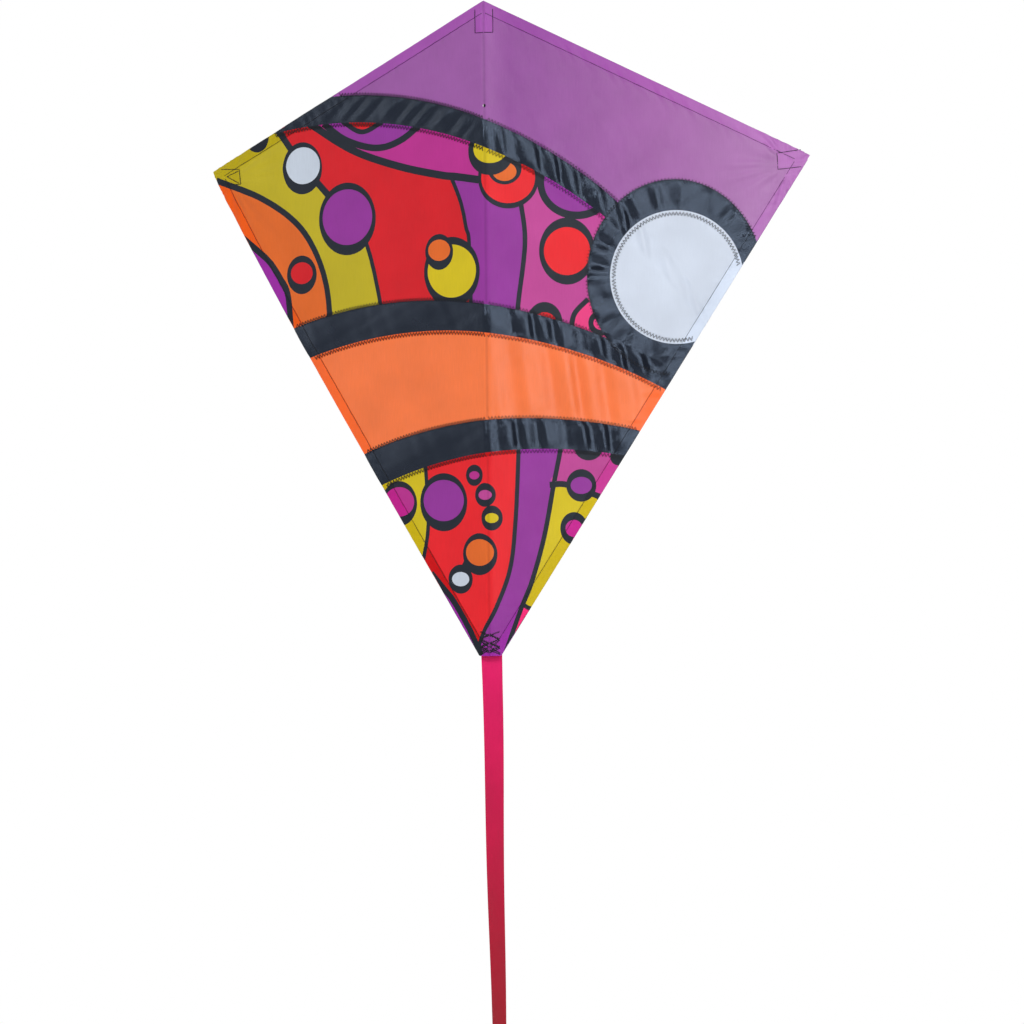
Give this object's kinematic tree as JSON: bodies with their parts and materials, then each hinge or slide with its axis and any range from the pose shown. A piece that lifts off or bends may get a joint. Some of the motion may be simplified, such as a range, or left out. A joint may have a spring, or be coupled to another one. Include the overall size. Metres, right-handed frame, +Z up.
{
  "type": "diamond kite",
  "caption": "Pieced diamond kite sail on a spine rod and two swept-back wing spars, with a flexing centre connector, a tow hole and a hanging ribbon tail.",
  "frame": {"origin": "centre of the tow hole, in the middle of the sail cloth's thickness on the crease", "axes": "+Z up the spine towards the nose, -Y out of the front of the sail towards the flyer, +X to the right as seen from the front"},
  "size_m": [0.729, 0.1179, 1.208],
  "materials": {
    "rod": "smooth pultruded glass-fibre rod, slightly glossy",
    "vinyl": "soft black vinyl, satin",
    "purple_cloth": "plain-weave ripstop polyester, soft sheen",
    "printed_cloth": "plain-weave polyester printed with flat coloured shapes and dark outlines",
    "satin_band": "black satin-faced cloth, puckered, bluish sheen",
    "orange_cloth": "plain-weave polyester, soft sheen",
    "white_cloth": "plain-weave polyester, cool white",
    "hem_cloth": "sail cloth folded double and stitched",
    "pocket_cloth": "sail cloth, sewn down at its margins",
    "ribbon": "thin woven ribbon, bright pink, soft sheen",
    "thread": "dark polyester sewing thread"
  },
  "bodies": {
    "spine": {"spine_rod": "rod", "spine_nose_cap": "vinyl", "spine_tail_cap": "vinyl", "connector_barrel": "vinyl", "sail_crease": "purple_cloth", "nose_pocket": "pocket_cloth", "tail_pocket": "pocket_cloth", "tail_seam": "ribbon"},
    "left_wing": {"left_spar": "rod", "left_spar_cap": "vinyl", "left_connector_arm": "vinyl", "left_tip_pocket": "pocket_cloth", "left_top_panel": "purple_cloth", "left_upper_band": "satin_band", "left_middle_panel": "printed_cloth", "left_centre_band": "satin_band", "left_orange_band": "orange_cloth", "left_lower_band": "satin_band", "left_lower_panel": "printed_cloth", "left_leading_hem": "hem_cloth", "left_trailing_hem": "hem_cloth"},
    "right_wing": {"right_spar": "rod", "right_spar_cap": "vinyl", "right_connector_arm": "vinyl", "right_tip_pocket": "pocket_cloth", "right_top_panel": "purple_cloth", "right_upper_band": "satin_band", "right_middle_panel": "printed_cloth", "right_centre_band": "satin_band", "right_orange_band": "orange_cloth", "right_lower_band": "satin_band", "right_lower_panel": "printed_cloth", "right_ring": "satin_band", "right_disc": "white_cloth", "right_leading_hem": "hem_cloth", "right_trailing_hem": "hem_cloth"},
    "tail": {"tail_ribbon": "ribbon"}
  },
  "joints": [
    {"name": "left_wing_flex", "type": "hinge", "parent": "spine", "child": "left_wing", "pos_m": [0, 0.00665, -0.0625], "axis": [0, 0, -1], "range_deg": [-17, 25], "stiffness_Nm_per_rad": 0.3},
    {"name": "right_wing_flex", "type": "hinge", "parent": "spine", "child": "right_wing", "pos_m": [0, 0.00665, -0.0625], "axis": [0, 0, 1], "range_deg": [-17, 25], "stiffness_Nm_per_rad": 0.3},
    {"name": "tail_swing", "type": "hinge", "parent": "spine", "child": "tail", "pos_m": [0, 0.0109, -0.641], "axis": [1, 0, 0], "range_deg": [-75, 75]}
  ]
}
